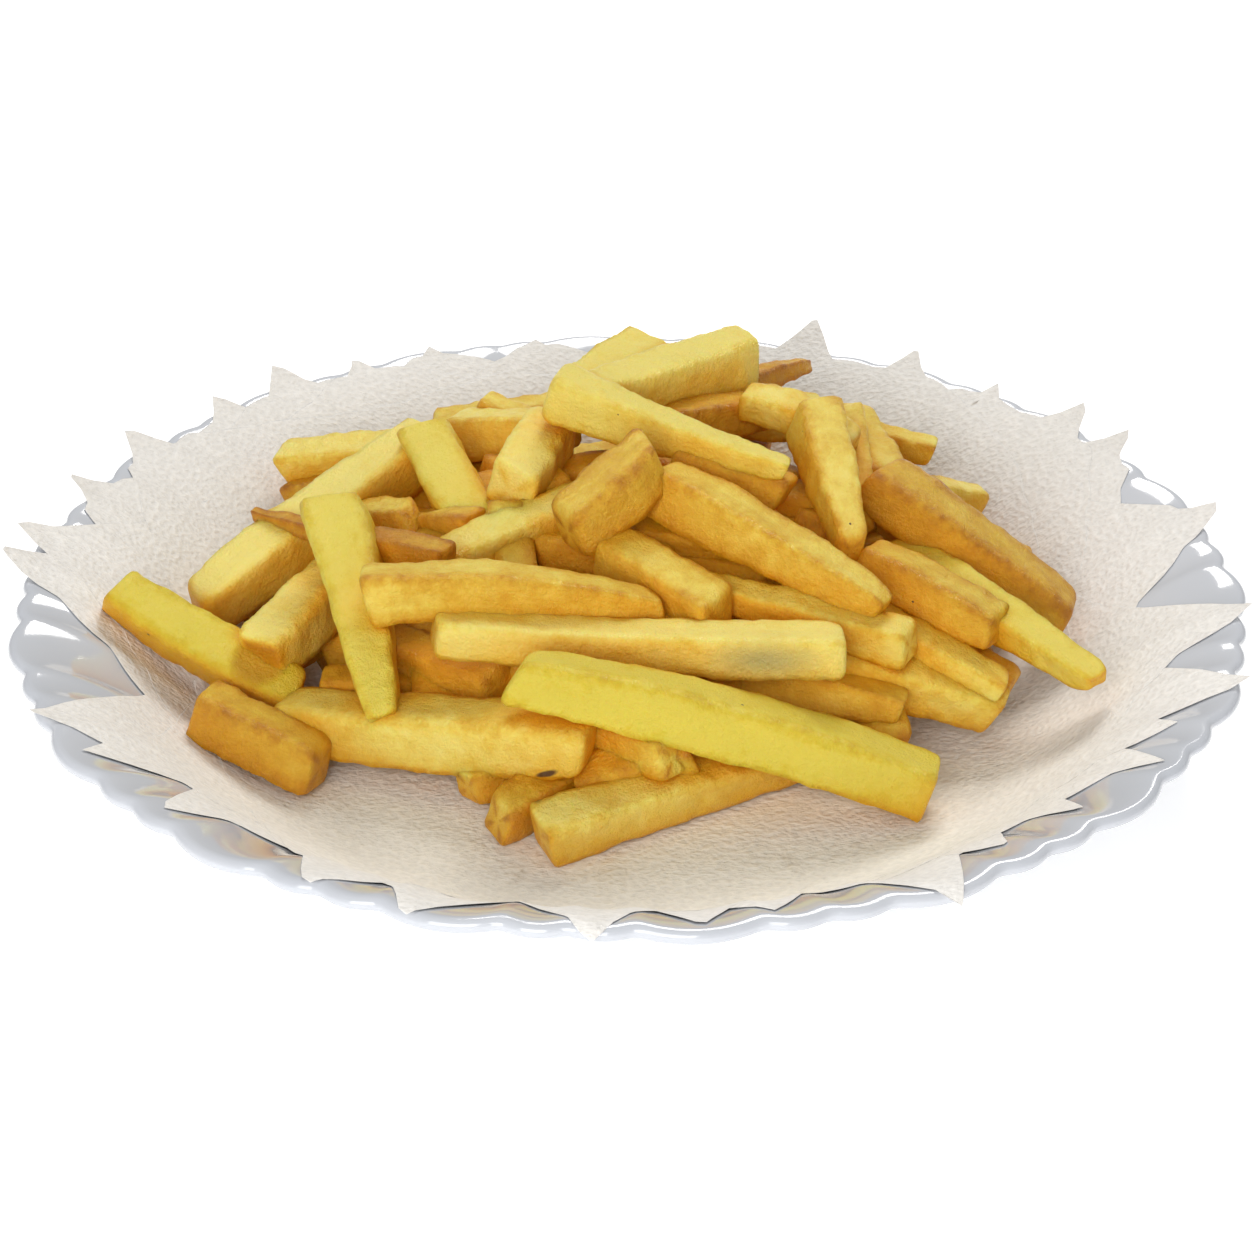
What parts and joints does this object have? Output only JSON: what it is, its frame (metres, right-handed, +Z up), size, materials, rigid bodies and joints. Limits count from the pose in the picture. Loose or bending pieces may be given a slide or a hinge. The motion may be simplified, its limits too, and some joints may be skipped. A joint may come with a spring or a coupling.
{
  "type": "french fries portion",
  "caption": "Portion of thick-cut french fries heaped on paper tissue in a shallow white plate with a fluted, scalloped rim.",
  "frame": {"origin": "middle of the plate's foot, on the surface that it stands on", "axes": "+Z up, -Y towards the front of the portion, +X to its right"},
  "size_m": [0.2418, 0.239, 0.0647],
  "materials": {
    "porcelain": "glossy white glazed tableware",
    "tissue": "matt embossed paper tissue",
    "fried_potato": "oily fried potato, browned at its edges and ends"
  },
  "bodies": {
    "root": {"plate": "porcelain", "liner": "tissue", "fries": "fried_potato"}
  },
  "joints": []
}
